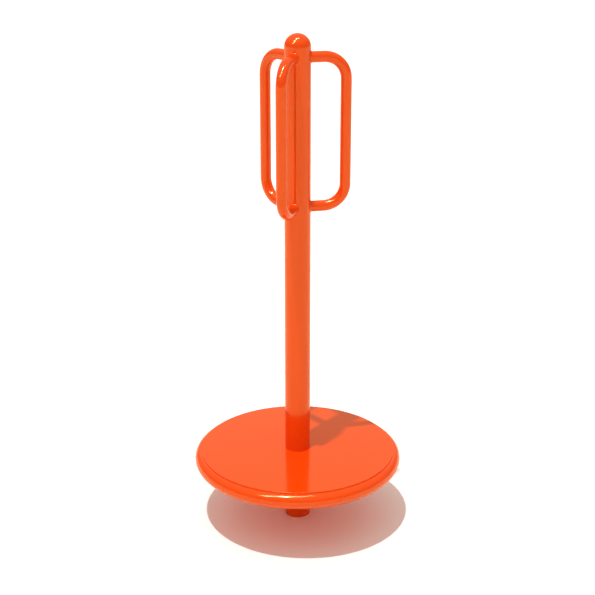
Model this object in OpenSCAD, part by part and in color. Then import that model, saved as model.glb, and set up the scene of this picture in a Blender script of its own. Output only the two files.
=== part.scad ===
// Stand-up playground spinner: a round deck and a pole with grab loops turn as one
// on two ball bearings over a fixed post. Millimetres, +Z up, the origin is at the
// middle of the anchor flange's underside, and the pole's axis is the Z axis.

/* [Deck] */
// Diameter over the rim tube
deck_d = 500; // [420:1:700]
// Deck's top above the ground line
deck_h = 180; // [165:1:320]
// Outside diameter of the rim tube
rim_d = 38; // [34:0.1:60]
// Wall of the rim tube
rim_wall = 2.5; // [1.5:0.1:5]
// Thickness of the deck sheet
sheet_t = 3; // [2:0.5:6]
// How far the deck sheet runs out past the crown of the rim tube
sheet_lap = 3; // [0:0.5:6]
// Number of spokes under the deck
spoke_count = 6; // [4:2:8]
// Side of a square spoke tube
spoke_w = 30; // [24:1:32]
// Wall of a spoke tube
spoke_wall = 2.5; // [1.5:0.1:4]
// Thickness of the two cover sheets under the deck
under_t = 2; // [1:0.5:4]
// Diameter of a drain hole under the rim tube
drain_d = 8; // [4:1:12]

/* [Pole] */
// Outside diameter of the pole and of the ground post
tube_d = 60.3; // [54:0.1:76]
// Wall of the pole and of the ground post
tube_wall = 4; // [3:0.1:6]
// Top of the dome above the deck
pole_h = 1003; // [750:1:1400]

/* [Grab loops] */
// Number of grab loops
loop_count = 3; // [2:1:3]
// Outside diameter of the loop tube
loop_d = 25; // [20:0.5:34]
// Wall of the loop tube
loop_wall = 2; // [1:0.1:4]
// Grip's centre line, out from the pole's axis
loop_reach = 111; // [95:0.5:200]
// Lower bar's centre line above the deck
loop_low_h = 609; // [300:1:640]
// Centre line height of the loop, from its lower to its upper bar
loop_span = 341; // [150:1:350]
// Bend radius of the loop tube's centre line
loop_bend_r = 50; // [30:1:60]

/* [Bearings] */
// Bore of a bearing
bearing_bore = 30; // [25:1:32]
// Outside diameter of a bearing
bearing_od = 62; // [56:1:68]
// Width of a bearing
bearing_w = 16; // [14:1:20]
// Distance between the two bearings
bearing_gap = 70; // [20:1:74]
// Diameter of a ball
ball_d = 9.5; // [8:0.1:10]
// Number of balls in a bearing
ball_count = 9; // [6:1:10]
// Height of a race's land above or below the ball circle
land_h = 2.8; // [2:0.1:3.4]

/* [Hub] */
// Wall of the bearing housing
housing_wall = 7; // [5:0.5:10]
// Diameter of the housing's flange
hub_flange_d = 140; // [136:1:180]
// Thickness of the housing's flange
hub_flange_t = 10; // [8:0.5:14]
// Diameter of the deck's centre plate
centre_d = 150; // [140:1:200]
// Thickness of the deck's centre plate
centre_t = 10; // [8:0.5:14]
// Circle of the hub bolts
hub_bolt_circle = 112; // [108:1:114]
// Size of a hub bolt
hub_bolt_d = 10; // [8:1:12]
// Number of hub bolts
hub_bolt_count = 6; // [3:1:8]
// Air between the fixed post's top and the turning housing
hub_air = 3; // [2:0.5:6]

/* [Ground anchor] */
// Ground line above the underside of the anchor flange
buried_h = 60; // [55:1:200]
// Diameter of the anchor flange
base_d = 250; // [240:1:400]
// Thickness of the anchor flange
base_t = 12; // [8:1:20]
// Circle of the anchor holes
anchor_circle = 200; // [160:1:208]
// Diameter of an anchor hole
anchor_hole_d = 18; // [12:1:22]
// Number of anchor holes and of gussets
anchor_count = 4; // [4:4:8]
// Height of a gusset above the flange
gusset_h = 40; // [20:1:42]
// Thickness of a gusset
gusset_t = 6; // [4:1:10]

/* [Clearances] */
// Gap on the radius between pieces that are pressed, welded or screwed together
fit_gap = 0.05; // [0.02:0.01:0.1]
// Gap on the radius between the seal's lip and the collar that it runs on
lip_gap = 0.05; // [0.02:0.01:0.1]
// Gap between a ball and its races and cage
ball_gap = 0.1; // [0.05:0.01:0.2]
// Gap on the radius round a bolt in a plain hole
bolt_gap = 0.5; // [0.2:0.1:1]
// Gap between the two halves of the under cover, and round them
cover_gap = 1; // [0.5:0.1:3]

/* [Hidden] */
$fn = 96;
cut = 1;        // overrun of a cutting shape past the face it leaves
edge = 1;       // chamfer on turned edges

// Heights, from the ground up
base_top = base_t;
ground_z = buried_h;
deck_z = ground_z + deck_h;
sheet_z = deck_z - sheet_t;
centre_z = sheet_z - centre_t;
hub_flange_z = centre_z - hub_flange_t;
bearing_recess = 8;                                   // from the housing's top down to the upper bearing
upper_z = centre_z - bearing_recess - bearing_w;
lower_z = upper_z - bearing_gap - bearing_w;
seal_t = 7;
seal_air = 2;                                         // air over the seal, and half of it below
housing_z = lower_z - seal_t - 1.5 * seal_air;
head_top = housing_z - hub_air;
head_rim_t = 8;
post_top = head_top - head_rim_t;
spigot_l = 18;

// Radii
tube_r = tube_d / 2;
tube_bore_r = tube_r - tube_wall;
rim_r = rim_d / 2;
rim_path_r = deck_d / 2 - rim_r;
rim_z = sheet_z - rim_r - fit_gap;
sheet_r = rim_path_r + sheet_lap;
journal_r = bearing_bore / 2 - fit_gap;
housing_bore_r = bearing_od / 2 + fit_gap;
housing_r = bearing_od / 2 + housing_wall;
pitch_r = (bearing_bore + bearing_od) / 4;
collar_r = pitch_r - 4;
spacer_r = pitch_r - 4.5;
shoulder_r = pitch_r + 4.5;
under_z = sheet_z - spoke_w - under_t;

// Spindle, its root in the post head and its nut below
root_r = 16;
stud_r = 12;
stud_nut_w = 36;
stud_nut_t = 19;
stud_washer_t = 4;
stud_end = 5;                                         // thread that shows below the nut
root_z = post_top - spigot_l;

// Top of the spindle: tab washer, then slotted lock nut
tab_t = 1.25;
lock_t = 7;
lock_r = 22.5;
thread_end = 3.75;                                    // thread that shows above the lock nut
spindle_top = upper_z + bearing_w + tab_t + lock_t + thread_end;
pole_z = centre_z + 2;                                // the pole's foot, let into the centre plate

// Retaining ring over the upper bearing
clip_t = 2;
clip_in = 4.5;                                        // how far it stands in from the bore
clip_groove = 1.5;                                    // how deep its groove is
clip_open = 30;                                       // angle of its gap

// Fasteners
hub_head_w = 1.6 * hub_bolt_d;
hub_head_t = 0.64 * hub_bolt_d;
hub_washer_t = 2;
hub_thread_l = centre_t - 2;                          // thread in the centre plate
screw_d = 6;
screw_head_d = 10.5;
screw_head_t = 3.3;
screw_l = 10;
screw_in = centre_d / 2 + 35;                         // the two screw circles under each spoke
screw_out = rim_path_r - rim_r - 24;

// The under cover's outer edge stays inside the rim tube at that height
cover_drop = rim_z - under_z;
cover_r = rim_path_r - sqrt(max(0, pow(rim_r, 2) - pow(cover_drop - under_t, 2))) - cover_gap;
cover_hole_r = housing_r + 4;
spoke_end = rim_path_r - rim_r / 2;

// Grab loops
loop_r = loop_d / 2;
loop_low_z = deck_z + loop_low_h;
loop_high_z = loop_low_z + loop_span;

// Colours
orange = [0.95, 0.33, 0.12];
zinc = [0.74, 0.76, 0.78];
steel = [0.60, 0.61, 0.63];
bright = [0.82, 0.83, 0.84];
brass = [0.78, 0.62, 0.30];
black = [0.08, 0.08, 0.09];

// A flat ring from radius a to radius b, standing on height z
module ring(a, b, z, h) {
  translate([0, 0, z])
    difference() {
      cylinder(r = b, h = h);
      translate([0, 0, -cut]) cylinder(r = a, h = h + 2 * cut);
    }
}

// Its children at n places on a circle of radius r, the first at angle a
module around(n, r, a = 0) {
  for (i = [0 : n - 1]) rotate(a + i * 360 / n) translate([r, 0, 0]) children();
}

// A hexagon head or nut: width over flats w, height h
module hexagon(w, h) {
  rotate(30) cylinder(d = w / cos(30), h = h, $fn = 6);
}

// Cross-section of a round tube
module tube_section(r, wall) {
  difference() {
    circle(r = r);
    circle(r = r - wall);
  }
}

// ---- The fixed anchor ----

// Round flange that is bolted down to the foundation
module base_flange() {
  color(zinc)
    difference() {
      rotate_extrude()
        polygon([[0, 0], [base_d / 2, 0], [base_d / 2, base_t - edge],
                 [base_d / 2 - edge, base_t], [0, base_t]]);
      around(anchor_count, anchor_circle / 2, 180 / anchor_count)
        translate([0, 0, -cut]) cylinder(d = anchor_hole_d, h = base_t + 2 * cut);
    }
}

// Gusset between flange and post, its inner edge shaped to the post
module base_gusset(i) {
  reach = anchor_circle / 2 - tube_r;
  toe = 8;
  color(zinc)
    difference() {
      rotate([90, 0, i * 360 / anchor_count])
        translate([0, 0, -gusset_t / 2])
          linear_extrude(gusset_t)
            translate([tube_r, base_top])
              polygon([[-gusset_t, 0], [reach, 0], [reach, toe], [toe, gusset_h], [-gusset_t, gusset_h]]);
      cylinder(r = tube_r + fit_gap, h = base_top + gusset_h + cut);
    }
}

// Post that carries everything, standing on the flange
module ground_post() {
  color(orange) ring(tube_bore_r, tube_r, base_top, post_top - base_top);
}

// Turned plug in the top of the post
module post_head() {
  color(orange)
    rotate_extrude()
      polygon([[root_r + fit_gap, root_z], [tube_bore_r - fit_gap, root_z],
               [tube_bore_r - fit_gap, post_top], [tube_r, post_top],
               [tube_r, head_top - edge], [tube_r - edge, head_top], [root_r + fit_gap, head_top]]);
}

// Shaft that stands still inside the bearings
module spindle() {
  stud_z = root_z - stud_washer_t - stud_nut_t - stud_end;
  color(steel)
    rotate_extrude()
      polygon([[0, stud_z], [stud_r - edge, stud_z], [stud_r, stud_z + edge],
               [stud_r, root_z], [root_r, root_z], [root_r, head_top],
               [collar_r, head_top], [collar_r, lower_z], [journal_r, lower_z],
               [journal_r, spindle_top - edge], [journal_r - edge, spindle_top], [0, spindle_top]]);
}

// Washer under the post head
module spindle_washer() {
  color(zinc) ring(stud_r + bolt_gap, root_r + 5, root_z - stud_washer_t, stud_washer_t);
}

// Nut that pulls the spindle's root down into the post head
module spindle_nut() {
  color(zinc)
    translate([0, 0, root_z - stud_washer_t - stud_nut_t])
      difference() {
        hexagon(stud_nut_w, stud_nut_t);
        translate([0, 0, -cut]) cylinder(r = stud_r + fit_gap, h = stud_nut_t + 2 * cut);
      }
}

// Sleeve that keeps the two inner rings apart
module bearing_spacer() {
  color(steel) ring(journal_r + fit_gap, spacer_r, lower_z + bearing_w, bearing_gap);
}

// Tab washer under the lock nut, its tongue pointing to -X
module tab_washer() {
  tongue_l = pitch_r + 1;
  tongue_w = 6;
  color(zinc)
    translate([0, 0, upper_z + bearing_w])
      difference() {
        union() {
          cylinder(r = pitch_r - 3.5, h = tab_t);
          translate([-tongue_l, -tongue_w / 2, 0]) cube([tongue_l, tongue_w, tab_t]);
        }
        translate([0, 0, -cut]) cylinder(r = journal_r + fit_gap, h = tab_t + 2 * cut);
      }
}

// Slotted nut that clamps both inner rings
module lock_nut() {
  slot_w = 5;
  slot_t = 2.5;
  color(zinc)
    translate([0, 0, upper_z + bearing_w + tab_t])
      difference() {
        cylinder(r = lock_r, h = lock_t);
        translate([0, 0, -cut]) cylinder(r = journal_r + fit_gap, h = lock_t + 2 * cut);
        around(4, lock_r - slot_t)
          translate([0, -slot_w / 2, -cut]) cube([slot_t + cut, slot_w, lock_t + 2 * cut]);
      }
}

// ---- Ball bearings ----

// Half of a bearing's cross-section between radii a and b, with the ball groove
module race(a, b, z) {
  translate([0, 0, z])
    rotate_extrude()
      difference() {
        translate([a, 0]) square([b - a, bearing_w]);
        translate([pitch_r, bearing_w / 2]) circle(r = ball_d / 2 + ball_gap);
      }
}

module inner_ring(z) {
  color(bright) race(bearing_bore / 2, pitch_r - land_h, z);
}

module outer_ring(z) {
  color(bright) race(pitch_r + land_h, bearing_od / 2, z);
}

module balls(z) {
  color(bright)
    translate([0, 0, z + bearing_w / 2])
      around(ball_count, pitch_r) sphere(d = ball_d);
}

// Ring with a round pocket for each ball
module cage(z) {
  cage_t = 2;
  cage_w = ball_d + 3;
  color(brass)
    translate([0, 0, z + bearing_w / 2])
      difference() {
        ring(pitch_r - cage_t / 2, pitch_r + cage_t / 2, -cage_w / 2, cage_w);
        around(ball_count, pitch_r)
          rotate([0, 90, 0]) cylinder(d = ball_d + 2 * ball_gap, h = 4 * cage_t, center = true);
      }
}

// ---- The turning hub ----

// Housing for both bearings, bolted up against the deck's centre plate
module bearing_housing() {
  haunch = 5;
  clip_z = upper_z + bearing_w;
  color(steel)
    difference() {
      rotate_extrude()
        polygon([[shoulder_r, lower_z + bearing_w], [housing_bore_r, lower_z + bearing_w],
                 [housing_bore_r, housing_z], [housing_r - edge, housing_z],
                 [housing_r, housing_z + edge], [housing_r, hub_flange_z - haunch],
                 [housing_r + haunch, hub_flange_z], [hub_flange_d / 2 - edge, hub_flange_z],
                 [hub_flange_d / 2, hub_flange_z + edge], [hub_flange_d / 2, centre_z],
                 [housing_bore_r, centre_z], [housing_bore_r, clip_z + clip_t + fit_gap],
                 [housing_bore_r + clip_groove, clip_z + clip_t + fit_gap],
                 [housing_bore_r + clip_groove, clip_z], [housing_bore_r, clip_z],
                 [housing_bore_r, upper_z], [shoulder_r, upper_z]]);
      around(hub_bolt_count, hub_bolt_circle / 2, 180 / hub_bolt_count)
        translate([0, 0, hub_flange_z - cut])
          cylinder(r = hub_bolt_d / 2 + bolt_gap, h = hub_flange_t + 2 * cut);
    }
}

// Rubber seal in the housing's mouth; its lip runs on the spindle's collar
module shaft_seal() {
  z = housing_z + seal_air / 2;
  body_in = collar_r + 1.5;
  color(black)
    rotate_extrude()
      polygon([[body_in, z], [bearing_od / 2, z], [bearing_od / 2, z + seal_t],
               [body_in + 1, z + seal_t], [collar_r + lip_gap, z + seal_t / 2 + 0.5],
               [collar_r + lip_gap, z + seal_t / 2 - 0.5]]);
}

// Spring ring that holds the upper bearing in the housing
module retaining_ring() {
  a = housing_bore_r - clip_in;
  b = housing_bore_r + clip_groove - fit_gap;
  color(zinc)
    translate([0, 0, upper_z + bearing_w])
      rotate(clip_open / 2)
        rotate_extrude(angle = 360 - clip_open)
          translate([a, 0]) square([b - a, clip_t]);
}

// Bolts that hold the housing to the centre plate, heads down
module hub_bolts() {
  color(zinc)
    around(hub_bolt_count, hub_bolt_circle / 2, 180 / hub_bolt_count)
      translate([0, 0, hub_flange_z - hub_washer_t]) {
        translate([0, 0, -hub_head_t]) hexagon(hub_head_w, hub_head_t);
        translate([0, 0, -hub_head_t / 2])
          cylinder(d = hub_bolt_d, h = hub_head_t / 2 + hub_washer_t + hub_flange_t + hub_thread_l);
      }
}

module hub_washers() {
  color(zinc)
    around(hub_bolt_count, hub_bolt_circle / 2, 180 / hub_bolt_count)
      ring(hub_bolt_d / 2 + bolt_gap / 2, hub_bolt_d, hub_flange_z - hub_washer_t, hub_washer_t);
}

// ---- The turning deck ----

// Thick plate in the middle of the deck, with the pole let into it
module centre_plate() {
  color(orange)
    difference() {
      ring(tube_r + fit_gap, centre_d / 2, centre_z, centre_t);
      around(hub_bolt_count, hub_bolt_circle / 2, 180 / hub_bolt_count)
        translate([0, 0, centre_z - cut])
          cylinder(r = hub_bolt_d / 2 + fit_gap, h = hub_thread_l + cut + 1);
    }
}

// Square tube from the centre plate to the rim, both ends shaped to what they meet
module deck_spoke(i) {
  inner = spoke_w - 2 * spoke_wall;
  start = centre_d / 2 - spoke_w / 3;
  color(orange)
    rotate(i * 360 / spoke_count)
      difference() {
        translate([start, -spoke_w / 2, sheet_z - spoke_w])
          cube([spoke_end - start, spoke_w, spoke_w]);
        translate([start - cut, -inner / 2, sheet_z - spoke_w + spoke_wall])
          cube([spoke_end - start + 2 * cut, inner, inner]);
        translate([0, 0, sheet_z - spoke_w - cut])
          cylinder(r = centre_d / 2 + fit_gap, h = spoke_w + 2 * cut);
        translate([0, 0, rim_z])
          rotate_extrude() translate([rim_path_r, 0]) circle(r = rim_r + fit_gap);
        for (r = [screw_in, screw_out])
          translate([r, 0, sheet_z - spoke_w - cut])
            cylinder(r = screw_d / 2 + fit_gap, h = spoke_wall + 2 * cut);
      }
}

// Tube bent to a closed ring, with a drain hole under each second spoke
module rim_tube() {
  color(orange)
    difference() {
      translate([0, 0, rim_z])
        rotate_extrude() translate([rim_path_r, 0]) tube_section(rim_r, rim_wall);
      around(spoke_count / 2, rim_path_r)
        translate([0, 0, rim_z - rim_r - cut]) cylinder(d = drain_d, h = 2 * rim_wall + cut);
    }
}

// Round sheet that is stood on, laid over the frame and up to the rim's crown
module deck_sheet() {
  brk = 0.5;
  color(orange)
    rotate_extrude()
      polygon([[tube_r + fit_gap, sheet_z], [sheet_r, sheet_z], [sheet_r, deck_z - brk],
               [sheet_r - brk, deck_z], [tube_r + fit_gap, deck_z]]);
}

// Places of the cover screws: two under each spoke whose side is wanted
module at_cover_screws() {
  for (i = [0 : spoke_count - 1], r = [screw_in, screw_out])
    rotate(i * 360 / spoke_count) translate([r, 0, 0]) children();
}

// Half of the cover sheet under the deck: side 1 is the +X half, side -1 the other
module under_cover(side) {
  color(orange)
    difference() {
      ring(cover_hole_r, cover_r, under_z, under_t);
      translate([side > 0 ? -deck_d : -cover_gap / 2, -deck_d / 2, under_z - cut])
        cube([deck_d + cover_gap / 2, deck_d, under_t + 2 * cut]);
      at_cover_screws()
        translate([0, 0, under_z - cut])
          cylinder(r = screw_d / 2 + bolt_gap / 2, h = under_t + 2 * cut);
    }
}

// Button-head screws up through the covers into the spokes
module cover_screws() {
  key_w = 4;
  key_t = 2;
  color(zinc)
    at_cover_screws()
      translate([0, 0, under_z])
        difference() {
          rotate_extrude()
            polygon([[0, -screw_head_t], [screw_head_d / 2 - 1.5, -screw_head_t],
                     [screw_head_d / 2, -screw_head_t / 3], [screw_head_d / 2, 0],
                     [screw_d / 2, 0], [screw_d / 2, screw_l], [0, screw_l]]);
          translate([0, 0, -screw_head_t - cut]) hexagon(key_w, key_t + cut);
        }
}

// ---- The pole and its grab loops ----

module pole() {
  color(orange) ring(tube_bore_r, tube_r, pole_z, deck_z + pole_h - tube_r - pole_z);
}

// Hollow half-sphere that closes the pole
module pole_dome() {
  color(orange)
    translate([0, 0, deck_z + pole_h - tube_r])
      rotate_extrude()
        intersection() {
          tube_section(tube_r, tube_wall);
          square(tube_r + cut);
        }
}

// Tube bent round a hand space, its two ends shaped to the pole
module grab_loop(i) {
  bar_l = loop_reach - loop_bend_r;
  color(orange)
    rotate(i * 360 / loop_count)
      difference() {
        union() {
          for (z = [loop_low_z, loop_high_z])
            translate([0, 0, z])
              rotate([0, 90, 0]) linear_extrude(bar_l) tube_section(loop_r, loop_wall);
          translate([loop_reach, 0, loop_low_z + loop_bend_r])
            linear_extrude(loop_span - 2 * loop_bend_r) tube_section(loop_r, loop_wall);
          translate([bar_l, 0, loop_high_z - loop_bend_r]) loop_bend(0);
          translate([bar_l, 0, loop_low_z + loop_bend_r]) loop_bend(-90);
        }
        translate([0, 0, loop_low_z - loop_d])
          cylinder(r = tube_r + fit_gap, h = loop_span + 2 * loop_d);
      }
}

// A quarter bend in the loop's plane, starting at angle a
module loop_bend(a) {
  rotate([90, 0, 0])
    rotate(a)
      rotate_extrude(angle = 90)
        translate([loop_bend_r, 0]) tube_section(loop_r, loop_wall);
}

base_flange();
base_gusset(0);  // base_gusset_1
base_gusset(1);  // base_gusset_2
base_gusset(2);  // base_gusset_3
base_gusset(3);  // base_gusset_4
ground_post();
post_head();
spindle();
spindle_washer();
spindle_nut();
inner_ring(lower_z);  // lower_bearing_inner
inner_ring(upper_z);  // upper_bearing_inner
bearing_spacer();
tab_washer();
lock_nut();
balls(lower_z);  // lower_bearing_balls
cage(lower_z);  // lower_bearing_cage
balls(upper_z);  // upper_bearing_balls
cage(upper_z);  // upper_bearing_cage
bearing_housing();
shaft_seal();
outer_ring(lower_z);  // lower_bearing_outer
outer_ring(upper_z);  // upper_bearing_outer
retaining_ring();
hub_bolts();
hub_washers();
centre_plate();
deck_spoke(0);  // deck_spoke_1
deck_spoke(1);  // deck_spoke_2
deck_spoke(2);  // deck_spoke_3
deck_spoke(3);  // deck_spoke_4
deck_spoke(4);  // deck_spoke_5
deck_spoke(5);  // deck_spoke_6
rim_tube();
deck_sheet();
under_cover(1);  // under_cover_right
under_cover(-1);  // under_cover_left
cover_screws();
pole();
pole_dome();
grab_loop(0);  // grab_loop_1
grab_loop(1);  // grab_loop_2
grab_loop(2);  // grab_loop_3
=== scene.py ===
"""A stand-up playground spinner: one round deck and one pole with three grab bars, all
turning on a fixed post. Laid out as an add-on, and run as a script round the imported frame.
Every size is in metres, +Z is up, and the pole's axis is the Z axis."""

import math

import bmesh
import bpy
from bpy.props import FloatProperty, FloatVectorProperty, IntProperty, PointerProperty
from mathutils import Matrix, Vector


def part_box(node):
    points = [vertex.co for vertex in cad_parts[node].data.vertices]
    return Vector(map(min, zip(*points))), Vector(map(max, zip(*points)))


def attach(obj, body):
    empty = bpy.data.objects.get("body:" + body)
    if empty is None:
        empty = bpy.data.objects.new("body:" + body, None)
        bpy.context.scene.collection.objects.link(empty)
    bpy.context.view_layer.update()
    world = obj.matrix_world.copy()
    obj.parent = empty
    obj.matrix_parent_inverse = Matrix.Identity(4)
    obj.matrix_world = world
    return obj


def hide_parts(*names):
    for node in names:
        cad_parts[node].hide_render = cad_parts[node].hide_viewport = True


bl_info = {
    "name": "Stand-up playground spinner",
    "version": (1, 0, 0),
    "blender": (4, 5, 0),
    "location": "View3D > Sidebar > Spinner",
    "description": "Builds a playground spinner with its deck, pole, grab bars and anchor",
    "category": "Add Mesh",
}

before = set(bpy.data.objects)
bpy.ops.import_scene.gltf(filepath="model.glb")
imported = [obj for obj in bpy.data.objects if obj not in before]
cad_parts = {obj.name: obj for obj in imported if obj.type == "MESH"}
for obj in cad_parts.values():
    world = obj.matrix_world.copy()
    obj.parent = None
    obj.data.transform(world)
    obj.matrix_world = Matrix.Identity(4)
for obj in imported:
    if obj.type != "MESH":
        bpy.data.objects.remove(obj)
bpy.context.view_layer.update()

MM = 0.001


def low(node):
    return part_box(node)[0]


def high(node):
    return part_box(node)[1]


# Sizes that the frame gives
DECK_TOP = high("deck_sheet").z
SHEET_UNDERSIDE = low("deck_sheet").z
SHEET_RADIUS = high("deck_sheet").x
POLE_RADIUS = high("pole").x
POLE_FOOT = low("pole").z
POLE_SHOULDER = high("pole").z
POLE_TOP = high("pole_dome").z
RIM_RADIUS = (high("rim_tube").z - low("rim_tube").z) / 2
RIM_HEIGHT = (high("rim_tube").z + low("rim_tube").z) / 2
RIM_PATH = high("rim_tube").x - RIM_RADIUS
BAR_RADIUS = high("grab_loop_1").y
BAR_REACH = high("grab_loop_1").x - BAR_RADIUS
BAR_LOW = low("grab_loop_1").z + BAR_RADIUS
BAR_HIGH = high("grab_loop_1").z - BAR_RADIUS
FLANGE_RADIUS = high("base_flange").x
FLANGE_TOP = high("base_flange").z
POST_TOP = high("ground_post").z
HEAD_TOP = high("post_head").z
HEAD_ROOT = low("post_head").z
RIB_TOP = high("base_gusset_1").z
RIB_REACH = high("base_gusset_1").x
RIB_HALF = high("base_gusset_1").y
COVER_UNDERSIDE = low("under_cover_right").z
SCREW_UNDERSIDE = low("cover_screws").z
SCREW_TOP = high("cover_screws").z
SCREW_OUT = high("cover_screws").x
BOLT_TOP = high("hub_bolts").z
BOLT_UNDERSIDE = low("hub_bolts").z
WASHER_UNDERSIDE = low("hub_washers").z

# Sizes that the frame's boxes don't show, repeated from the part's source
TUBE_WALL = 4 * MM
RIM_WALL = 2.5 * MM
DRAIN_RADIUS = 4 * MM
BAR_WALL = 2 * MM
ANCHOR_CIRCLE = 100 * MM
ANCHOR_HOLE = 9 * MM
RIB_TOE = 8 * MM
SPINDLE_ROOT = 16.05 * MM
SCREW_IN = 110 * MM
SCREW_HEAD = 5.25 * MM
SCREW_RADIUS = 3 * MM
KEY_FLATS = 4 * MM
KEY_DEPTH = 2 * MM
BOLT_CIRCLE = 56 * MM
BOLT_RADIUS = 5 * MM
BOLT_FLATS = 16 * MM
GROUND_LINE = 60 * MM

BARS = 3
DRAINS = 3
SPOKES = 6
RIBS = 4
SPINNER, ANCHOR = "spinner", "ground_anchor"

TURN_STEPS = 192  # facets round a turned piece
DECK_STEPS = 256  # facets round the deck, whose edge is the longest
RIM_STEPS = 56  # facets round the rim's tube, in section
HOLE_STEPS = 64  # facets round an anchor hole
SMALL_STEPS = 40  # facets round a screw, a bolt's shank, a drain hole or the rim's bore
HEAD_STEPS = 96  # facets round a bolt's head, before its flats are cut
CROWN_STEPS = 8  # facets from the flat to the edge of a button head
DOME_STEPS = 40  # facets from the dome's top to its foot
DOME_BORE_STEPS = 24  # the same inside the dome
FLOOR_STEPS = 96  # facets round the floor
BEND_STEPS = 14  # facets along a bend of a grab bar
ARC_STEPS = 5  # facets in a small rounded corner
CREASE = math.radians(35)  # sharper edges than this stay crisp

WELD_FACE = 0.56  # middle of a weld's face, out along both surfaces, as a share of its leg
WELD_ROOT = 0.15  # how far its root reaches into the corner, as a share of its leg
RIPPLE_STATIONS = 6  # stations along one ripple of a weld
SCREW_TURNS = 8  # threads drawn on a cover screw, coarser than real ones so that they show
BOLT_TURNS = 9  # threads drawn on a hub bolt, coarser too

# The studio, laid out round the pole
# Painted warm white: the tent and floor show it to glossy rays only, a painted warm sheen in the
# coat's reflections
PAINTED_SHEEN_WHITE = "#FFEACB"  # its cloth and floor, as the gloss mirrors them
SUN_FROM = Vector((-0.174, -0.151, 1.0))
STRIP_ENDS = (Vector((-2.5, -1.72, 4.0)), Vector((0.54, -0.207, 4.0)))
STRIP_AIM = Vector((0, 0, 1.0))
STRIP_SIZE = (3.6, 0.13)
CARD_PLACE = (0.9, 4.2, 2.3)
CARD_AIM = (0, 0, 0.3)
CARD_SIZE = (6.0, 2.6)
FLOOR_RADII = (0.4, 2.0, 12.0, 60.0)  # its rings, out to where it meets the backdrop
CAMERA_PLACE = (-0.577, -2.788, 1.674)
CAMERA_TILT = math.radians(69.83)
CAMERA_TURN = math.radians(-11.69)
CAMERA_LENS = 78.23
CAMERA_SENSOR = 36.0


def srgb(code):
    """Turn an sRGB hex colour into the linear RGBA that the shaders work in."""
    channels = [int(code[i : i + 2], 16) / 255 for i in (1, 3, 5)]
    linear = [
        c / 12.92 if c <= 0.04045 else ((c + 0.055) / 1.055) ** 2.4 for c in channels
    ]
    return (*linear, 1.0)


# ---- What a user may change ----


class SpinnerWelds(bpy.types.PropertyGroup):
    leg: FloatProperty(
        name="Leg", description="Leg of the fillet welds", default=2.2 * MM, unit="LENGTH"
    )
    pitch: FloatProperty(
        name="Ripple pitch",
        description="Distance between two ripples of a weld",
        default=3.5 * MM,
        unit="LENGTH",
    )
    ripple: FloatProperty(
        name="Ripple height",
        description="How far a ripple stands out, as a share of the leg",
        default=0.07,
        subtype="FACTOR",
    )


class SpinnerShape(bpy.types.PropertyGroup):
    bar_bend: FloatProperty(
        name="Bar bend",
        description="Bend radius of a grab bar's centre line",
        default=50 * MM,
        unit="LENGTH",
    )
    sheet_break: FloatProperty(
        name="Sheet edge",
        description="Radius that the deck sheet's upper edge is rounded to",
        default=0.9 * MM,
        unit="LENGTH",
    )
    turned_break: FloatProperty(
        name="Turned edge",
        description="Radius on the edges of the turned and sawn pieces",
        default=0.8 * MM,
        unit="LENGTH",
    )
    bar_steps: IntProperty(
        name="Bar facets", description="Facets round a grab bar", default=48, min=12
    )


class SpinnerFinish(bpy.types.PropertyGroup):
    coat: FloatVectorProperty(
        name="Powder coat",
        description="Colour of the powder-coated pieces",
        default=srgb("#E84004"),
        subtype="COLOR",
        size=4,
        min=0,
        max=1,
    )
    peel: FloatProperty(
        name="Orange peel",
        description="Height of the coat's waves",
        default=0.006 * MM,
        unit="LENGTH",
        precision=6,
    )
    spangle: FloatProperty(
        name="Spangle",
        description="Width of a zinc crystal on the galvanised pieces",
        default=11 * MM,
        unit="LENGTH",
    )


class SpinnerStudio(bpy.types.PropertyGroup):
    sun: FloatProperty(name="Sun", description="Strength of the key light", default=2.2, min=0)
    sun_size: FloatProperty(
        name="Sun width",
        description="Angle that the key light fills, which softens the shadows",
        default=math.radians(1.3),
        subtype="ANGLE",
    )
    sky: FloatProperty(
        name="Sky", description="Strength of the light from overhead", default=0.85, min=0
    )
    horizon: FloatProperty(
        name="Horizon", description="Strength of the light from near the floor", default=0.4, min=0
    )
    strip: FloatProperty(
        name="Strip", description="Power of the long strip light", default=100, min=0
    )
    card: FloatProperty(
        name="Card", description="Power of the reflector behind", default=15, min=0
    )


# ---- Mesh tools ----


def arc(centre, radius, start, turn, steps):
    """Points on an arc in a plane, both ends included."""
    return [
        (
            centre[0] + radius * math.cos(start + turn * i / steps),
            centre[1] + radius * math.sin(start + turn * i / steps),
        )
        for i in range(steps + 1)
    ]


def rounded(corners):
    """Closed outline from (x, y, radius) corners, each rounded off by its own arc."""
    outline = []
    for i, (x, y, radius) in enumerate(corners):
        if not radius:
            outline.append((x, y))
            continue
        here = Vector((x, y))
        back = (Vector(corners[i - 1][:2]) - here).normalized()
        ahead = (Vector(corners[(i + 1) % len(corners)][:2]) - here).normalized()
        half = back.angle(ahead) / 2
        centre = here + (back + ahead).normalized() * (radius / math.sin(half))
        first = here + back * (radius / math.tan(half)) - centre
        last = here + ahead * (radius / math.tan(half)) - centre
        start = math.atan2(first.y, first.x)
        turn = (math.atan2(last.y, last.x) - start + math.pi) % math.tau - math.pi
        outline += arc(centre, radius, start, turn, ARC_STEPS)
    return outline


def skin(bm, rings, closed=True):
    """Join rings of equal length into one surface, round to the first ring or capped."""
    made = [[bm.verts.new(point) for point in ring] for ring in rings]
    for i in range(len(made) if closed else len(made) - 1):
        ring, following = made[i], made[(i + 1) % len(made)]
        for j in range(len(ring)):
            bm.faces.new((ring[j - 1], ring[j], following[j], following[j - 1]))
    if not closed:
        bm.faces.new(made[0])
        bm.faces.new(reversed(made[-1]))


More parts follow.
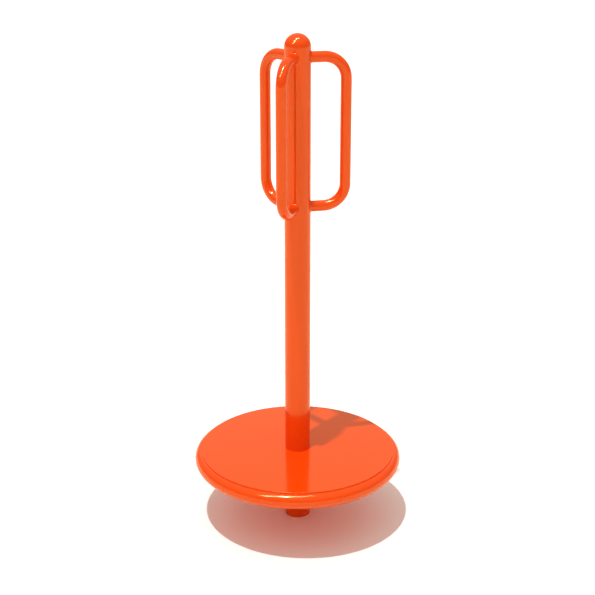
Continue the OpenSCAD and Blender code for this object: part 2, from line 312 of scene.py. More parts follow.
def turned(outline, steps=TURN_STEPS):
    """Turn a closed outline of (radius, height) points round the Z axis."""
    bm = bmesh.new()
    angles = [math.tau * i / steps for i in range(steps)]
    skin(bm, [[(r * math.cos(a), r * math.sin(a), z) for r, z in outline] for a in angles])
    bmesh.ops.remove_doubles(bm, verts=bm.verts, dist=1e-6)
    bmesh.ops.recalc_face_normals(bm, faces=bm.faces)
    return bm


def prism(outline, bottom, top):
    """A straight block over an outline of (x, y) points."""
    bm = bmesh.new()
    skin(bm, [[(x, y, z) for x, y in outline] for z in (bottom, top)], closed=False)
    bmesh.ops.recalc_face_normals(bm, faces=bm.faces)
    return bm


def round_hole(x, y, radius, bottom, top, steps=SMALL_STEPS):
    """A cylinder that cuts a hole."""
    return prism(arc((x, y), radius, 0, math.tau, steps)[:-1], bottom, top)


def hexagon(flats):
    """Outline of a hexagon, by its width over flats."""
    return arc((0, 0), flats / math.sqrt(3), 0, math.tau, 6)[:-1]


def merged(bm, other, place=None):
    """Add a copy of one bmesh to another, moved by a matrix."""
    mesh = bpy.data.meshes.new("merge")
    other.to_mesh(mesh)
    if place is not None:
        mesh.transform(place)
    bm.from_mesh(mesh)
    bpy.data.meshes.remove(mesh)
    return bm


def carved(bm, cutter):
    """Cut one bmesh out of another and return what is left."""
    pair = []
    for made in (bm, cutter):
        mesh = bpy.data.meshes.new("carve")
        made.to_mesh(mesh)
        made.free()
        pair.append(bpy.data.objects.new("carve", mesh))
        bpy.context.scene.collection.objects.link(pair[-1])
    solid, tool = pair
    cut = solid.modifiers.new("cut", "BOOLEAN")
    cut.operation, cut.solver, cut.object = "DIFFERENCE", "EXACT", tool
    bpy.context.view_layer.update()
    rest = bmesh.new()
    rest.from_mesh(solid.evaluated_get(bpy.context.evaluated_depsgraph_get()).to_mesh())
    for used in pair:
        mesh = used.data
        bpy.data.objects.remove(used)
        bpy.data.meshes.remove(mesh)
    if not rest.faces:
        raise RuntimeError("a cut left nothing of its piece")
    return rest


def bead(corners, closed=True):
    """A rippled fillet weld along stations of (corner, one surface's way, the other's)."""
    welds = bpy.context.scene.spinner_welds
    length = sum(
        (corners[i][0] - corners[i - 1][0]).length
        for i in range(0 if closed else 1, len(corners))
    )
    ripples = max(1, round(length / welds.pitch))
    rings = []
    for i, (corner, one, other) in enumerate(corners):
        phase = math.tau * ripples * i / len(corners)
        swell = 1 + welds.ripple * math.sin(phase)
        leg = welds.leg * swell
        middle = corner + (one + other) * leg * WELD_FACE
        ring = [corner - (one + other) * WELD_ROOT * welds.leg]
        for k in range(ARC_STEPS + 1):
            t = k / ARC_STEPS
            near = (corner + one * leg).lerp(middle, t)
            far = middle.lerp(corner + other * leg, t)
            ring.append(near.lerp(far, t))
        rings.append(ring)
    bm = bmesh.new()
    skin(bm, rings, closed)
    bmesh.ops.recalc_face_normals(bm, faces=bm.faces)
    return bm


def stations(length):
    """How many stations a weld of that length needs to show its ripples."""
    ripples = round(length / bpy.context.scene.spinner_welds.pitch)
    return max(2, ripples) * RIPPLE_STATIONS


def ring_weld(radius, height):
    """Weld where an upright tube stands on a flat face."""
    count = stations(math.tau * radius)
    up = Vector((0, 0, 1))
    corners = []
    for i in range(count):
        angle = math.tau * i / count
        out = Vector((math.cos(angle), math.sin(angle), 0))
        corners.append((out * radius + up * height, out, up))
    return bead(corners)


def line_weld(start, end, one, other):
    """Straight weld from one point to another."""
    count = stations((end - start).length)
    return bead([(start.lerp(end, i / count), one, other) for i in range(count + 1)], False)


# ---- Finishes ----


def add_node(tree, kind, sockets=None, **settings):
    """Add a shader node with its settings, and fill or link its sockets."""
    made = tree.nodes.new(kind)
    for name, value in settings.items():
        setattr(made, name, value)
    for key, value in (sockets or {}).items():
        if isinstance(value, bpy.types.NodeSocket):
            tree.links.new(value, made.inputs[key])
        else:
            made.inputs[key].default_value = value
    return made


def new_material(name):
    """An empty material: its tree and the object coordinates in metres."""
    material = bpy.data.materials.new(name)
    material.use_nodes = True
    tree = material.node_tree
    tree.nodes.clear()
    place = add_node(tree, "ShaderNodeTexCoord").outputs["Object"]
    return material, tree, place


def close_material(tree, sockets):
    """Put the surface shader on the tree, and its output after it."""
    surface = add_node(tree, "ShaderNodeBsdfPrincipled", sockets)
    add_node(tree, "ShaderNodeOutputMaterial", {"Surface": surface.outputs["BSDF"]})


def powder_coat():
    """Polyester powder coat, sprayed and stoved at 200 degrees. It gives an even gloss with
    the faint waves of orange peel in its reflections, a colour that drifts with the film's
    thickness, and a sheen that takes some of the pigment's orange."""
    finish = bpy.context.scene.spinner_finish
    material, tree, place = new_material("gloss_powder_coat_orange")
    # Orange peel waves are 2 to 4 mm long; drawn at 7 mm so that they show
    peel = add_node(
        tree, "ShaderNodeTexNoise", {"Vector": place, "Scale": 1 / (7 * MM), "Detail": 1.5}
    )
    # Film thickness drifts over a hand's width or so, and the colour by some 3% with it
    drift = add_node(
        tree, "ShaderNodeTexNoise", {"Vector": place, "Scale": 1 / (140 * MM), "Detail": 2.0}
    )
    # Dust specks under the film, one in some 30 mm
    dust = add_node(
        tree,
        "ShaderNodeTexVoronoi",
        {"Vector": place, "Scale": 1 / (30 * MM), "Randomness": 1.0},
        feature="F1",
    )
    speck = add_node(
        tree,
        "ShaderNodeMapRange",
        {
            "Value": dust.outputs["Distance"],
            "From Min": 0.012,
            "From Max": 0.035,
            "To Min": 1.0,
            "To Max": 0.0,
        },
    )
    coat = Vector(finish.coat[:3])
    thick = add_node(
        tree,
        "ShaderNodeMix",
        {
            0: drift.outputs["Fac"],
            6: (*(coat * 0.965), 1),
            7: (*[min(1, c * 1.03) for c in coat], 1),
        },
        data_type="RGBA",
    )
    gloss = add_node(
        tree,
        "ShaderNodeMapRange",
        {"Value": drift.outputs["Fac"], "To Min": 0.09, "To Max": 0.13},
    )
    waves = add_node(
        tree,
        "ShaderNodeBump",
        {
            "Height": peel.outputs["Fac"],
            "Strength": 1.0,
            "Distance": finish.peel,
        },
    )
    specks = add_node(
        tree,
        "ShaderNodeBump",
        {
            "Height": speck.outputs[0],
            "Strength": 0.5,
            "Distance": 0.04 * MM,
            "Normal": waves.outputs["Normal"],
        },
    )
    close_material(
        tree,
        {
            "Base Color": thick.outputs[2],
            "Roughness": gloss.outputs[0],
            "IOR": 1.85,
            "Specular Tint": srgb("#FFD695"),
            "Normal": specks.outputs["Normal"],
        },
    )
    return material


def hot_dip_galvanised():
    """Hot-dip galvanised steel. The zinc freezes in flat crystals, so the grey changes from
    one spangle to the next, and weathers from bright to dull in patches."""
    material, tree, place = new_material("hot_dip_galvanised_steel")
    spangle = bpy.context.scene.spinner_finish.spangle
    crystals = add_node(
        tree, "ShaderNodeTexVoronoi", {"Vector": place, "Scale": 1 / spangle}
    )
    fern = add_node(
        tree,
        "ShaderNodeTexNoise",
        {"Vector": place, "Scale": 1 / (2.5 * MM), "Detail": 5.0, "Distortion": 1.2},
    )
    dull = add_node(
        tree, "ShaderNodeTexNoise", {"Vector": place, "Scale": 1 / (60 * MM), "Detail": 3.0}
    )
    tone = add_node(
        tree, "ShaderNodeSeparateColor", {"Color": crystals.outputs["Color"]}
    ).outputs[0]
    grey = add_node(
        tree,
        "ShaderNodeMix",
        {0: tone, 6: srgb("#88929C"), 7: srgb("#BFC8D0")},
        data_type="RGBA",
    )
    weathered = add_node(
        tree,
        "ShaderNodeMix",
        {0: dull.outputs["Fac"], 6: grey.outputs[2], 7: srgb("#9FA8B0")},
        data_type="RGBA",
    )
    rough = add_node(
        tree,
        "ShaderNodeMapRange",
        {"Value": tone, "To Min": 0.34, "To Max": 0.52},
    )
    frost = add_node(
        tree,
        "ShaderNodeBump",
        {"Height": fern.outputs["Fac"], "Strength": 0.6, "Distance": 0.05 * MM},
    )
    close_material(
        tree,
        {
            "Base Color": weathered.outputs[2],
            "Metallic": 0.9,
            "Roughness": rough.outputs[0],
            "Normal": frost.outputs["Normal"],
        },
    )
    return material


def metal(name, dark, light, rough, grain, lift):
    """A bare or plated metal whose tone, gloss and bump follow one fine grain."""
    material, tree, place = new_material(name)
    pattern = add_node(
        tree, "ShaderNodeTexNoise", {"Vector": place, "Scale": 1 / grain, "Detail": 3.0}
    )
    return close_metal(material, tree, pattern.outputs["Fac"], dark, light, rough, lift)


def close_metal(material, tree, pattern, dark, light, rough, lift):
    """Colour, gloss and bump of a metal from one pattern of 0 to 1."""
    tone = add_node(
        tree,
        "ShaderNodeMix",
        {0: pattern, 6: srgb(dark), 7: srgb(light)},
        data_type="RGBA",
    )
    gloss = add_node(
        tree,
        "ShaderNodeMapRange",
        {"Value": pattern, "To Min": rough[0], "To Max": rough[1]},
    )
    relief = add_node(
        tree, "ShaderNodeBump", {"Height": pattern, "Strength": 0.5, "Distance": lift}
    )
    close_material(
        tree,
        {
            "Base Color": tone.outputs[2],
            "Metallic": 1.0,
            "Roughness": gloss.outputs[0],
            "Normal": relief.outputs["Normal"],
        },
    )
    return material


def zinc_plate():
    """Bright zinc electroplate with a clear chromate: a cool white shine, slightly mottled."""
    return metal(
        "bright_zinc_electroplate", "#AEB6BD", "#D5DBE0", (0.2, 0.34), 3 * MM, 0.02 * MM
    )


def bearing_steel():
    """Through-hardened bearing steel, ground and honed: near mirror, with a faint lay."""
    return metal(
        "ground_bearing_steel", "#B4B5B6", "#D2D3D4", (0.08, 0.16), 1.5 * MM, 0.004 * MM
    )


def cage_brass():
    """Machined brass, lightly tarnished, so it goes from yellow to a browner gold."""
    return metal("machined_brass", "#A9823A", "#D8B565", (0.22, 0.38), 6 * MM, 0.01 * MM)


def turned_steel():
    """Mild steel turned on a lathe. The tool leaves rings of one feed each, round the
    shaft and across its faces. The feed is 0.15 mm; drawn at 0.9 mm so that it shows."""
    material, tree, place = new_material("turned_mild_steel")
    axes = add_node(tree, "ShaderNodeSeparateXYZ", {"Vector": place}).outputs
    across = add_node(
        tree, "ShaderNodeCombineXYZ", {"X": axes["X"], "Y": axes["Y"]}
    ).outputs["Vector"]
    radius = add_node(
        tree, "ShaderNodeVectorMath", {0: across}, operation="LENGTH"
    ).outputs["Value"]
    travel = add_node(
        tree, "ShaderNodeMath", {0: radius, 1: axes["Z"]}, operation="ADD"
    ).outputs[0]
    rings = add_node(
        tree,
        "ShaderNodeTexNoise",
        {"W": travel, "Scale": 1 / (0.9 * MM), "Detail": 2.0},
        noise_dimensions="1D",
    )
    return close_metal(
        material, tree, rings.outputs["Fac"], "#7B8188", "#A2A9B0", (0.24, 0.36), 0.008 * MM
    )


def seal_rubber():
    """Nitrile rubber, moulded: deep black with a soft sheen and the mould's fine grain."""
    material, tree, place = new_material("moulded_nitrile_rubber")
    # Spark-eroded mould grain is 0.1 mm; drawn at 0.6 mm so that it shows
    grain = add_node(
        tree, "ShaderNodeTexNoise", {"Vector": place, "Scale": 1 / (0.6 * MM), "Detail": 2.0}
    )
    tone = add_node(
        tree,
        "ShaderNodeMix",
        {0: grain.outputs["Fac"], 6: srgb("#151516"), 7: srgb("#26272A")},
        data_type="RGBA",
    )
    relief = add_node(
        tree,
        "ShaderNodeBump",
        {"Height": grain.outputs["Fac"], "Strength": 0.6, "Distance": 0.03 * MM},
    )
    close_material(
        tree,
        {
            "Base Color": tone.outputs[2],
            "Roughness": 0.62,
            "IOR": 1.52,
            "Normal": relief.outputs["Normal"],
        },
    )
    return material


def studio_paint():
    """Matt white studio paint on the floor: near white, with a trace of roller texture. To glossy
    rays it shows a warmer white, which paints a warm sheen into the coat's reflections."""
    material, tree, place = new_material("matt_studio_paint")
    roller = add_node(
        tree, "ShaderNodeTexNoise", {"Vector": place, "Scale": 1 / (25 * MM), "Detail": 2.0}
    )
    tone = add_node(
        tree,
        "ShaderNodeMix",
        {0: roller.outputs["Fac"], 6: srgb("#F6F6F6"), 7: srgb("#FAFAFA")},
        data_type="RGBA",
    )
    # Glossy rays see the floor in a warm white: a painted warm sheen in the coat's reflections
    mirrored = add_node(tree, "ShaderNodeLightPath").outputs["Is Glossy Ray"]
    floor_with_painted_sheen = add_node(
        tree,
        "ShaderNodeMix",
        {0: mirrored, 6: tone.outputs[2], 7: srgb(PAINTED_SHEEN_WHITE)},
        data_type="RGBA",
    )
    close_material(
        tree, {"Base Color": floor_with_painted_sheen.outputs[2], "Roughness": 0.9, "Specular IOR Level": 0.0}
    )
    return material


FINISHES = {
    "powder_coat": powder_coat,
    "galvanised_steel": hot_dip_galvanised,
    "zinc_plate": zinc_plate,
    "machined_steel": turned_steel,
    "bearing_steel": bearing_steel,
    "cage_brass": cage_brass,
    "seal_rubber": seal_rubber,
}
made_finishes = {}


def finish(slot):
    """The material for one of the record's slots, made once."""
    if slot not in made_finishes:
        made_finishes[slot] = FINISHES[slot]()
    return made_finishes[slot]


def piece(name, bm, slot, body, *nodes):
    """Make a bmesh a named piece on its body, in place of the CAD nodes given."""
    bmesh.ops.remove_doubles(bm, verts=bm.verts, dist=1e-7)
    for face in bm.faces:
        face.smooth = True
    for edge in bm.edges:
        edge.smooth = not edge.is_manifold or edge.calc_face_angle() < CREASE
    mesh = bpy.data.meshes.new(name)
    bm.to_mesh(mesh)
    bm.free()
    if not mesh.polygons:
        raise RuntimeError(f"{name} has no faces")
    mesh.materials.append(finish(slot))
    made = bpy.data.objects.new(name, mesh)
    bpy.context.scene.collection.objects.link(made)
    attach(made, body)
    if nodes:
        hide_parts(*nodes)
    return made


def bevelled(made, width):
    """Round off the crisp edges of a piece."""
    bevel = made.modifiers.new("broken_edges", "BEVEL")
    bevel.width = width
    bevel.segments = 2
    bevel.limit_method = "ANGLE"
    bevel.angle_limit = CREASE
    bevel.harden_normals = True


def carry_over(slot, *nodes):
    """Give CAD nodes whose shape is right the finish of their slot."""
    for node in nodes:
        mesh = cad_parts[node].data
        mesh.materials.clear()
        mesh.materials.append(finish(slot))


# ---- Pieces ----


class SPINNER_OT_deck(bpy.types.Operator):
    """Deck sheet with its rounded outer edge, laid on the frame"""

    bl_idname = "spinner.deck"
    bl_label = "Deck sheet"

    def execute(self, context):
        edge = context.scene.spinner_shape.sheet_break
        outline = rounded(
            [
                (POLE_RADIUS, SHEET_UNDERSIDE, 0),
                (SHEET_RADIUS, SHEET_UNDERSIDE, edge / 3),
                (SHEET_RADIUS, DECK_TOP, edge),
                (POLE_RADIUS, DECK_TOP, 0),
            ]
        )
        sheet = turned(outline, DECK_STEPS)
        piece("deck_plate", sheet, "powder_coat", SPINNER, "deck_sheet")
        return {"FINISHED"}


class SPINNER_OT_rim(bpy.types.Operator):
    """Rim tube, bent to a ring and drilled underneath to drain"""

    bl_idname = "spinner.rim"
    bl_label = "Rim tube"

    def execute(self, context):
        centre = (RIM_PATH, RIM_HEIGHT)
        outside = arc(centre, RIM_RADIUS, 0, math.tau, RIM_STEPS)[:-1]
        inside = arc(centre, RIM_RADIUS - RIM_WALL, 0, math.tau, SMALL_STEPS)[:-1]
        bm = turned(outside, DECK_STEPS)
        bore = turned(inside, DECK_STEPS)
        bmesh.ops.reverse_faces(bore, faces=bore.faces)
        merged(bm, bore)
        drains = bmesh.new()
        for i in range(DRAINS):
            angle = math.tau * i / DRAINS
            hole = round_hole(
                RIM_PATH * math.cos(angle),
                RIM_PATH * math.sin(angle),
                DRAIN_RADIUS,
                RIM_HEIGHT - RIM_RADIUS * 1.2,
                RIM_HEIGHT - RIM_RADIUS / 2,
            )
            merged(drains, hole)
        piece("rim_ring", carved(bm, drains), "powder_coat", SPINNER, "rim_tube")
        return {"FINISHED"}


class SPINNER_OT_underside(bpy.types.Operator):
    """Deck frame, its two cover sheets and the button-head screws that hold them"""

    bl_idname = "spinner.underside"
    bl_label = "Deck underside"

    def execute(self, context):
        carry_over(
            "powder_coat",
            "centre_plate",
            "under_cover_right",
            "under_cover_left",
            *[f"deck_spoke_{i + 1}" for i in range(SPOKES)],
        )
        screw = button_head_screw()
        bm = bmesh.new()
        for i in range(SPOKES):
            for radius in (SCREW_IN, SCREW_OUT - SCREW_HEAD):
                turn = Matrix.Rotation(math.tau * i / SPOKES, 4, "Z")
                place = turn @ Matrix.Translation((radius, 0, COVER_UNDERSIDE))
                merged(bm, screw, place)
        screw.free()
        piece("button_head_screws", bm, "zinc_plate", SPINNER, "cover_screws")
        return {"FINISHED"}


def button_head_screw():
    """A cover screw, head down, with its seat at height 0 and a hexagon socket in its head."""
    head = COVER_UNDERSIDE - SCREW_UNDERSIDE
    deep = SCREW_TOP - COVER_UNDERSIDE
    flat = 0.42  # share of the head's radius that is flat
    crown = 0.25 * MM
    groove = 0.35 * MM
    lead = 0.6 * MM
    outline = [(0, -head)]
    for i in range(CROWN_STEPS + 1):
        sweep = math.pi / 2 * i / CROWN_STEPS
        outline.append(
            (
                SCREW_HEAD * (flat + (1 - flat) * math.sin(sweep)),
                -head * math.cos(sweep) - crown * math.sin(2 * sweep),
            )
        )
    outline += [(SCREW_HEAD - 0.2 * MM, 0), (SCREW_RADIUS, 0)]
    pitch = deep / (SCREW_TURNS + 1)
    for i in range(SCREW_TURNS):
        outline += [
            (SCREW_RADIUS, pitch * (i + 0.3)),
            (SCREW_RADIUS - groove, pitch * (i + 0.8)),
        ]
    outline += [(SCREW_RADIUS, deep * 0.93), (SCREW_RADIUS - lead, deep), (0, deep)]
    key = prism(hexagon(KEY_FLATS), -head - MM, -head + KEY_DEPTH)
    return carved(turned(outline, SMALL_STEPS), key)


class SPINNER_OT_pole(bpy.types.Operator):
    """Pole and its domed cap; the pole stands through the sheet and is welded below it"""

    bl_idname = "spinner.pole"
    bl_label = "Pole"

    def execute(self, context):
        bore = POLE_RADIUS - TUBE_WALL
        tube = [
            (bore, POLE_FOOT),
            (POLE_RADIUS, POLE_FOOT),
            (POLE_RADIUS, POLE_SHOULDER),
            (bore, POLE_SHOULDER),
        ]
        piece("pole_tube", turned(tube), "powder_coat", SPINNER, "pole")
        quarter = math.pi / 2
        centre = (0, POLE_SHOULDER)
        cap = arc(centre, POLE_TOP - POLE_SHOULDER, 0, quarter, DOME_STEPS)
        cap += reversed(arc(centre, bore, 0, quarter, DOME_BORE_STEPS))
        piece("pole_cap", turned(cap), "powder_coat", SPINNER, "pole_dome")
        return {"FINISHED"}


class SPINNER_OT_grab_bars(bpy.types.Operator):
    """Grab bars, bent in one plane from the pole out and back, and the welds at both ends"""

    bl_idname = "spinner.grab_bars"
    bl_label = "Grab bars"

    def execute(self, context):
        shape = context.scene.spinner_shape
        bend = shape.bar_bend
        quarter = math.pi / 2
        outer_x = BAR_REACH - bend
        path = [((0, BAR_HIGH), quarter)]
        for centre_z, start in ((BAR_HIGH - bend, quarter), (BAR_LOW + bend, 0)):
            for i in range(BEND_STEPS + 1):
                angle = start - quarter * i / BEND_STEPS
                x = outer_x + bend * math.cos(angle)
                z = centre_z + bend * math.sin(angle)
                path.append(((x, z), angle))
        path.append(((0, BAR_LOW), -quarter))
        for number in range(BARS):
            turn = Matrix.Rotation(math.tau * number / BARS, 4, "Z")
            rings = []
            for k in range(shape.bar_steps):
                around = math.tau * k / shape.bar_steps
                line = []
                for radius, way in ((BAR_RADIUS, path), (BAR_RADIUS - BAR_WALL, path[::-1])):
                    for (x, z), angle in way:
                        out = radius * math.cos(around)
                        side = radius * math.sin(around)
                        if x == 0:
                            x = math.sqrt(POLE_RADIUS**2 - side**2)
                            z += out * math.sin(angle)
                        else:
                            x += out * math.cos(angle)
                            z += out * math.sin(angle)
                        line.append(turn @ Vector((x, side, z)))
                rings.append(line)
            bm = bmesh.new()
            skin(bm, rings)
            bmesh.ops.recalc_face_normals(bm, faces=bm.faces)
            node = f"grab_loop_{number + 1}"
            piece(f"grab_bar_{number + 1}", bm, "powder_coat", SPINNER, node)
            welds = bmesh.new()
            for height in (BAR_LOW, BAR_HIGH):
                merged(welds, saddle_weld(height), turn)
            piece(f"grab_bar_welds_{number + 1}", welds, "powder_coat", SPINNER)
        return {"FINISHED"}


def saddle_weld(height):
    """Weld where a bar of the first grab loop meets the pole at that height."""
    count = stations(math.tau * BAR_RADIUS)
    corners = []
    for i in range(count):
        around = math.tau * i / count
        side = BAR_RADIUS * math.cos(around)
        rise = BAR_RADIUS * math.sin(around)
        x = math.sqrt(POLE_RADIUS**2 - side**2)
        away = Vector((0, math.cos(around), math.sin(around)))
        normal = Vector((x, side, 0)).normalized()
        on_pole = (away - normal * away.dot(normal)).normalized()
        corners.append((Vector((x, side, height + rise)), Vector((1, 0, 0)), on_pole))
    return bead(corners)


class SPINNER_OT_hub(bpy.types.Operator):
    """Bearing housing, its seal and clip, and the bolts up into the deck"""

    bl_idname = "spinner.hub"
    bl_label = "Hub"

    def execute(self, context):
        carry_over("machined_steel", "bearing_housing")
        carry_over("seal_rubber", "shaft_seal")
        carry_over("zinc_plate", "retaining_ring", "hub_washers")
        bolt = hexagon_bolt()
        bm = bmesh.new()
        for i in range(SPOKES):
            turn = Matrix.Rotation(math.tau * (i + 0.5) / SPOKES, 4, "Z")
            merged(bm, bolt, turn @ Matrix.Translation((BOLT_CIRCLE, 0, BOLT_UNDERSIDE)))
        bolt.free()
        piece("hub_hexagon_bolts", bm, "zinc_plate", SPINNER, "hub_bolts")
        return {"FINISHED"}


def hexagon_bolt():
    """A hub bolt, head down, from the underside of its chamfered head at height 0."""
    head = WASHER_UNDERSIDE - BOLT_UNDERSIDE
    length = BOLT_TOP - BOLT_UNDERSIDE
    corner = BOLT_FLATS / math.sqrt(3) + 0.1 * MM
    chamfer = 1.2 * MM
    blank = turned(
        [
            (0, 0),
            (BOLT_FLATS / 2 - 0.4 * MM, 0),
            (corner, chamfer),
            (corner, head),
            (0, head),
        ],
        HEAD_STEPS,
    )
    around = prism(hexagon(4 * BOLT_FLATS), -head, 2 * head)
    hole = prism(hexagon(BOLT_FLATS), -2 * head, 3 * head)
    bolt = carved(blank, carved(around, hole))
    thread = head * 1.65
    pitch = (length - head * 1.7) / BOLT_TURNS
    groove = 0.55 * MM
    crest = 0.02 * MM
    outline = [(0, head / 2), (BOLT_RADIUS, head / 2), (BOLT_RADIUS, head * 1.6)]
    for i in range(BOLT_TURNS):
        outline += [
            (BOLT_RADIUS - groove, thread + pitch * (i + 0.5)),
            (BOLT_RADIUS - crest, thread + pitch * (i + 1)),
        ]
    outline += [(BOLT_RADIUS - MM, length), (0, length)]
    shank = turned(outline, SMALL_STEPS)
    merged(bolt, shank)
    shank.free()
    return bolt


class SPINNER_OT_bearings(bpy.types.Operator):
    """Spindle with its two ball bearings, their spacer, tab washer and lock nut"""

    bl_idname = "spinner.bearings"
    bl_label = "Bearings"

    def execute(self, context):
        for side in ("lower", "upper"):
            parts = [f"{side}_bearing_{part}" for part in ("inner", "outer", "balls")]
            carry_over("bearing_steel", *parts)
            carry_over("cage_brass", f"{side}_bearing_cage")
        carry_over("machined_steel", "bearing_spacer", "spindle")
        carry_over("zinc_plate", "tab_washer", "lock_nut")
        return {"FINISHED"}


class SPINNER_OT_post(bpy.types.Operator):
    """Ground post with its turned head, and the washer and nut under the spindle"""

    bl_idname = "spinner.post"
    bl_label = "Ground post"

    def execute(self, context):
        edge = context.scene.spinner_shape.turned_break
        bore = POLE_RADIUS - TUBE_WALL
        tube = [(bore, FLANGE_TOP), (POLE_RADIUS, FLANGE_TOP)]
        tube += [(POLE_RADIUS, POST_TOP), (bore, POST_TOP)]
        piece("post_tube", turned(tube), "powder_coat", ANCHOR, "ground_post")
        head = rounded(
            [
                (SPINDLE_ROOT, HEAD_ROOT, 0),
                (bore, HEAD_ROOT, edge),
                (bore, POST_TOP, 0),
                (POLE_RADIUS, POST_TOP, edge / 4),
                (POLE_RADIUS, HEAD_TOP, 2 * edge),
                (SPINDLE_ROOT, HEAD_TOP, edge),
            ]
        )
        piece("post_cap", turned(head), "powder_coat", ANCHOR, "post_head")
        carry_over("zinc_plate", "spindle_washer", "spindle_nut")
        return {"FINISHED"}


class SPINNER_OT_anchor(bpy.types.Operator):
    """Anchor flange, its four ribs and the welds that join them to the post"""

    bl_idname = "spinner.anchor"
    bl_label = "Ground anchor"

    def execute(self, context):
        edge = context.scene.spinner_shape.turned_break
        disc = turned(
            rounded(
                [
                    (0, 0, 0),
                    (FLANGE_RADIUS, 0, edge),
                    (FLANGE_RADIUS, FLANGE_TOP, edge * 1.5),
                    (0, FLANGE_TOP, 0),
                ]
            )
        )
        holes = bmesh.new()
        for i in range(RIBS):
            angle = math.tau * (i + 0.5) / RIBS
            x = ANCHOR_CIRCLE * math.cos(angle)
            y = ANCHOR_CIRCLE * math.sin(angle)
            hole = round_hole(x, y, ANCHOR_HOLE, -FLANGE_TOP, 2 * FLANGE_TOP, HOLE_STEPS)
            merged(holes, hole)
        drilled = carved(disc, holes)
        plate = piece("anchor_plate", drilled, "galvanised_steel", ANCHOR, "base_flange")
        bevelled(plate, edge / 2)
        toe = FLANGE_TOP + RIB_TOE
        side = [
            (POLE_RADIUS, FLANGE_TOP),
            (RIB_REACH, FLANGE_TOP),
            (RIB_REACH, toe),
            (POLE_RADIUS + RIB_TOE, RIB_TOP),
            (POLE_RADIUS, RIB_TOP),
        ]
        across, out, up = Vector((0, 1, 0)), Vector((1, 0, 0)), Vector((0, 0, 1))
        for number in range(RIBS):
            turn = Matrix.Rotation(math.tau * number / RIBS, 4, "Z")
            upright = turn @ Matrix.Rotation(math.pi / 2, 4, "X")
            bm = merged(bmesh.new(), prism(side, -RIB_HALF, RIB_HALF), upright)
            node = f"base_gusset_{number + 1}"
            rib = piece(f"anchor_rib_{number + 1}", bm, "galvanised_steel", ANCHOR, node)
            bevelled(rib, edge / 2)
            welds = bmesh.new()
            for way in (1, -1):
                inner = Vector((POLE_RADIUS, RIB_HALF * way, FLANGE_TOP))
                outer = Vector((RIB_REACH, RIB_HALF * way, FLANGE_TOP))
                upper = Vector((POLE_RADIUS, RIB_HALF * way, RIB_TOP))
                merged(welds, line_weld(inner, outer, across * way, up), turn)
                merged(welds, line_weld(inner, upper, across * way, out), turn)
            name = f"anchor_rib_welds_{number + 1}"
            piece(name, welds, "galvanised_steel", ANCHOR)
        foot = ring_weld(POLE_RADIUS, FLANGE_TOP)
        piece("post_foot_weld", foot, "galvanised_steel", ANCHOR)
        return {"FINISHED"}


# ---- Stage ----


def aimed(name, data, place, towards):
    """Put a light in the scene so that it shines at a point."""
    light = bpy.data.objects.new(name, data)
    bpy.context.scene.collection.objects.link(light)
    light.location = place
    light.rotation_mode = "QUATERNION"
    light.rotation_quaternion = (Vector(place) - Vector(towards)).to_track_quat("Z", "Y")
    return light


def reflected(name, power, size, place, towards):
    """A rectangular lamp that the gloss mirrors, and that lights nothing else."""
    data = bpy.data.lights.new(name, "AREA")
    data.shape = "RECTANGLE"
    data.size, data.size_y = size
    data.energy = power
    lamp = aimed(name, data, place, towards)
    lamp.visible_diffuse = False
    lamp.visible_camera = False
    return lamp


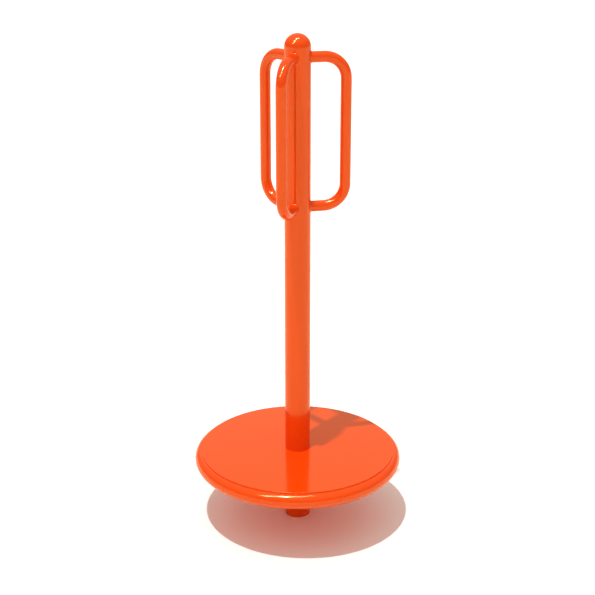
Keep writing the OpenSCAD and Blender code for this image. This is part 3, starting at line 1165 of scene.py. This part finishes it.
class SPINNER_OT_studio(bpy.types.Operator):
    """White floor, soft sky, one sun, a strip light, a warm card and the camera"""

    bl_idname = "spinner.studio"
    bl_label = "Studio"

    def execute(self, context):
        studio = context.scene.spinner_studio
        self.floor()
        self.sun(studio)
        self.strip(studio)
        self.card(studio)
        self.sky(context, studio)
        self.camera(context)
        context.scene.view_settings.view_transform = "Standard"
        return {"FINISHED"}

    def sun(self, studio):
        """The key light, nearly overhead, which draws the shadows."""
        data = bpy.data.lights.new("studio_sun", "SUN")
        data.energy = studio.sun
        data.angle = studio.sun_size
        aimed("studio_sun", data, SUN_FROM * 3, (0, 0, 0))

    def strip(self, studio):
        """A long lamp over the front, which shows only as small highlights in the gloss."""
        start, end = STRIP_ENDS
        middle = (start + end) / 2
        lamp = reflected("studio_strip", studio.strip, STRIP_SIZE, middle, STRIP_AIM)
        along = (end - start).normalized()
        facing = (middle - STRIP_AIM).normalized()
        side = facing.cross(along).normalized()
        turn = Matrix((side.cross(facing), side, facing)).transposed()
        lamp.rotation_quaternion = turn.to_quaternion()

    def card(self, studio):
        """A warm reflector behind the object, which shows only as sheen on the deck."""
        lamp = reflected("studio_card", studio.card, CARD_SIZE, CARD_PLACE, CARD_AIM)
        lamp.data.color = srgb("#FFD9A0")[:3]

    def floor(self):
        """A round floor at the ground line, with a hole for the post."""
        bm = bmesh.new()
        rings = []
        for radius in (POLE_RADIUS + 0.5 * MM, *FLOOR_RADII):
            circle = arc((0, 0), radius, 0, math.tau, FLOOR_STEPS)[:-1]
            rings.append([bm.verts.new((x, y, GROUND_LINE)) for x, y in circle])
        for inner, outer in zip(rings, rings[1:]):
            for j in range(len(inner)):
                bm.faces.new((inner[j - 1], outer[j - 1], outer[j], inner[j]))
        bmesh.ops.recalc_face_normals(bm, faces=bm.faces)
        mesh = bpy.data.meshes.new("studio_floor")
        bm.to_mesh(mesh)
        bm.free()
        mesh.materials.append(studio_paint())
        floor = bpy.data.objects.new("studio_floor", mesh)
        bpy.context.scene.collection.objects.link(floor)

    def sky(self, context, studio):
        """A studio tent, dimmer near the floor than overhead; the backdrop shows plain white."""
        world = bpy.data.worlds.new("studio_tent")
        context.scene.world = world
        world.use_nodes = True
        tree = world.node_tree
        tree.nodes.clear()
        way = add_node(tree, "ShaderNodeTexCoord").outputs["Generated"]
        height = add_node(tree, "ShaderNodeSeparateXYZ", {"Vector": way}).outputs["Z"]
        strength = add_node(
            tree,
            "ShaderNodeMapRange",
            {
                "Value": height,
                "From Min": 0.15,
                "From Max": 0.85,
                "To Min": studio.horizon,
                "To Max": studio.sky,
            },
            interpolation_type="SMOOTHSTEP",
        )
        path = add_node(tree, "ShaderNodeLightPath").outputs
        # Glossy rays see the tent in a warm white: a painted warm sheen in the coat's reflections
        cloth_with_painted_sheen = add_node(
            tree,
            "ShaderNodeMix",
            {0: path["Is Glossy Ray"], 6: srgb("#FFF6E8"), 7: srgb(PAINTED_SHEEN_WHITE)},
            data_type="RGBA",
        )
        tent = add_node(
            tree,
            "ShaderNodeBackground",
            {"Color": cloth_with_painted_sheen.outputs[2], "Strength": strength.outputs[0]},
        )
        backdrop = add_node(
            tree, "ShaderNodeBackground", {"Color": (1, 1, 1, 1), "Strength": 1.0}
        )
        both = add_node(
            tree,
            "ShaderNodeMixShader",
            {0: path["Is Camera Ray"], 1: tent.outputs[0], 2: backdrop.outputs[0]},
        )
        add_node(tree, "ShaderNodeOutputWorld", {"Surface": both.outputs[0]})

    def camera(self, context):
        """The camera in front, a little to the left and above the deck."""
        data = bpy.data.cameras.new("studio_camera")
        data.lens = CAMERA_LENS
        data.sensor_width = CAMERA_SENSOR
        data.clip_start, data.clip_end = 0.05, 200.0
        camera = bpy.data.objects.new("studio_camera", data)
        context.scene.collection.objects.link(camera)
        camera.location = CAMERA_PLACE
        camera.rotation_euler = (CAMERA_TILT, 0, CAMERA_TURN)
        context.scene.camera = camera


class SPINNER_PT_panel(bpy.types.Panel):
    """Lists the pieces and their settings"""

    bl_idname = "SPINNER_PT_panel"
    bl_label = "Playground spinner"
    bl_space_type = "VIEW_3D"
    bl_region_type = "UI"
    bl_category = "Spinner"

    def draw(self, context):
        for maker in MAKERS:
            self.layout.operator(maker.bl_idname)
        for name, group in SETTINGS.items():
            box = self.layout.box()
            for prop in group.__annotations__:
                box.prop(getattr(context.scene, name), prop)


SETTINGS = {
    "spinner_shape": SpinnerShape,
    "spinner_welds": SpinnerWelds,
    "spinner_finish": SpinnerFinish,
    "spinner_studio": SpinnerStudio,
}
MAKERS = (
    SPINNER_OT_deck,
    SPINNER_OT_rim,
    SPINNER_OT_underside,
    SPINNER_OT_pole,
    SPINNER_OT_grab_bars,
    SPINNER_OT_hub,
    SPINNER_OT_bearings,
    SPINNER_OT_post,
    SPINNER_OT_anchor,
    SPINNER_OT_studio,
)


def register():
    for group in (*SETTINGS.values(), *MAKERS, SPINNER_PT_panel):
        bpy.utils.register_class(group)
    for name, group in SETTINGS.items():
        setattr(bpy.types.Scene, name, PointerProperty(type=group))


def unregister():
    for name in SETTINGS:
        delattr(bpy.types.Scene, name)
    for group in reversed((*SETTINGS.values(), *MAKERS, SPINNER_PT_panel)):
        bpy.utils.unregister_class(group)


def main():
    register()
    for maker in MAKERS:
        family, call = maker.bl_idname.split(".")
        getattr(getattr(bpy.ops, family), call)()


if __name__ == "__main__":
    main()
